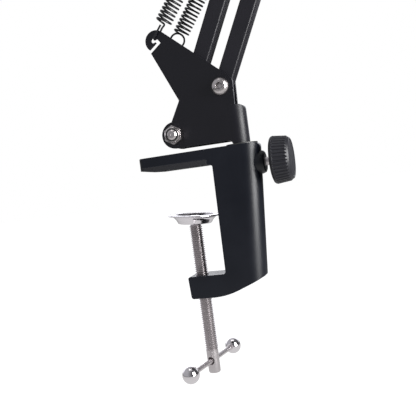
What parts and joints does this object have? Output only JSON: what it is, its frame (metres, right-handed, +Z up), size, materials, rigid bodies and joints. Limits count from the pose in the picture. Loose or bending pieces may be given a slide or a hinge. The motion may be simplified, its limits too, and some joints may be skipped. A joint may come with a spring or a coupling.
{
  "type": "desk clamp arm for a microphone",
  "caption": "Desk clamp with swivel base bracket and a spring-balanced two-bar lower arm ending at bored elbow plates.",
  "frame": {"origin": "on the underside of the upper jaw's pad, where it rests on a desk, on the clamp-screw axis, midway across the clamp", "axes": "+Z up along the clamp screw and the swivel, +X from the jaw opening towards the lock knob, +Y across the clamp, away from the hooked side plate"},
  "size_m": [0.198, 0.0708, 0.4775],
  "materials": {
    "clamp_paint": "satin black paint on cast steel",
    "bracket_paint": "satin black paint on folded sheet steel",
    "bar_paint": "satin black paint on square steel tube",
    "pad_rubber": "moulded black rubber with cross grooves",
    "black_nylon": "moulded black nylon",
    "white_nylon": "moulded natural nylon",
    "knob_plastic": "moulded black plastic, ribbed rim",
    "cup_chrome": "bright chrome plating on pressed steel",
    "ball_chrome": "polished chrome",
    "screw_steel": "turned steel, nickel plated",
    "fastener_zinc": "zinc plated steel",
    "spring_black": "black oxide spring steel"
  },
  "bodies": {
    "clamp": {"clamp_body": "clamp_paint", "jaw_pad": "pad_rubber", "lock_bush": "clamp_paint", "swivel_washer": "black_nylon"},
    "ball": {"ball_stud": "screw_steel"},
    "cup": {"pressure_cup": "cup_chrome", "cup_pin": "screw_steel"},
    "screw": {"clamp_screw": "screw_steel"},
    "tommy": {"tommy_bar": "screw_steel", "tommy_balls": "ball_chrome"},
    "lock_tip": {"lock_plug": "white_nylon"},
    "lock": {"lock_screw": "screw_steel", "lock_knob": "knob_plastic"},
    "base": {"base_bracket": "bracket_paint", "swivel_spindle": "screw_steel", "spring_stud": "screw_steel", "front_pivot_bolt": "fastener_zinc", "front_pivot_nut": "fastener_zinc", "rear_pivot_screw": "fastener_zinc", "rear_pivot_nut": "fastener_zinc", "near_spring": "spring_black", "far_spring": "spring_black"},
    "front_arm": {"front_bar": "bar_paint", "front_bar_bushes": "black_nylon", "front_bar_plugs": "knob_plastic", "spring_pin": "fastener_zinc", "spring_pin_collars": "black_nylon"},
    "rear_arm": {"rear_bar": "bar_paint", "rear_bar_bushes": "black_nylon", "rear_bar_plugs": "knob_plastic"},
    "elbow": {"elbow_plate_near": "bracket_paint", "elbow_plate_far": "bracket_paint", "elbow_spacer": "fastener_zinc", "elbow_front_bolt": "fastener_zinc", "elbow_front_nut": "fastener_zinc", "elbow_rear_screw": "fastener_zinc", "elbow_rear_nut": "fastener_zinc"}
  },
  "joints": [
    {"name": "swivel", "type": "hinge", "parent": "clamp", "child": "base", "pos_m": [0.0353, 0, 0.01], "axis": [0, 0, 1], "continuous": true},
    {"name": "cup_travel", "type": "slide", "parent": "clamp", "child": "ball", "axis": [0, 0, 1], "range_m": [-0.0275, 0.025]},
    {"name": "cup_tilt", "type": "hinge", "parent": "ball", "child": "cup", "pos_m": [0, 0, -0.0326], "axis": [0, 1, 0], "range_deg": [-12.3, 1.7]},
    {"name": "screw_turn", "type": "hinge", "parent": "ball", "child": "screw", "pos_m": [0, 0, -0.0347], "axis": [0, 0, 1], "range_deg": [-7921, 7201]},
    {"name": "tommy_slide", "type": "slide", "parent": "screw", "child": "tommy", "axis": [-0.1736, -0.9848, 0], "range_m": [-0.0215, 0.0215]},
    {"name": "lock_travel", "type": "slide", "parent": "clamp", "child": "lock_tip", "axis": [1, 0, 0], "range_m": [-0.00008, 0.0024]},
    {"name": "lock_turn", "type": "hinge", "parent": "lock_tip", "child": "lock", "pos_m": [0.045, 0, -0.0023], "axis": [1, 0, 0], "range_deg": [-36.5, 1081]},
    {"name": "arm_tilt", "type": "hinge", "parent": "base", "child": "front_arm", "pos_m": [-0.003, 0, 0.0204], "axis": [0, 1, 0], "range_deg": [-15, 11], "stiffness_Nm_per_rad": 1.4, "springref_deg": -10.11, "deforming": ["near_spring", "far_spring"]},
    {"name": "rear_tilt", "type": "hinge", "parent": "base", "child": "rear_arm", "pos_m": [0.0285, 0, 0.0445], "axis": [0, 1, 0], "range_deg": [-15.1, 11.1]},
    {"name": "elbow_level", "type": "hinge", "parent": "front_arm", "child": "elbow", "pos_m": [0.1271, 0, 0.29072], "axis": [0, 1, 0], "range_deg": [-11.1, 15.1]}
  ],
  "couplings": [
    {"joint": "screw_turn", "follows": "cup_travel", "rad_per_m": 5026.5},
    {"joint": "lock_turn", "follows": "lock_travel", "rad_per_m": 7854},
    {"joint": "rear_tilt", "follows": "arm_tilt", "ratio": 1},
    {"joint": "elbow_level", "follows": "arm_tilt", "ratio": -1}
  ]
}
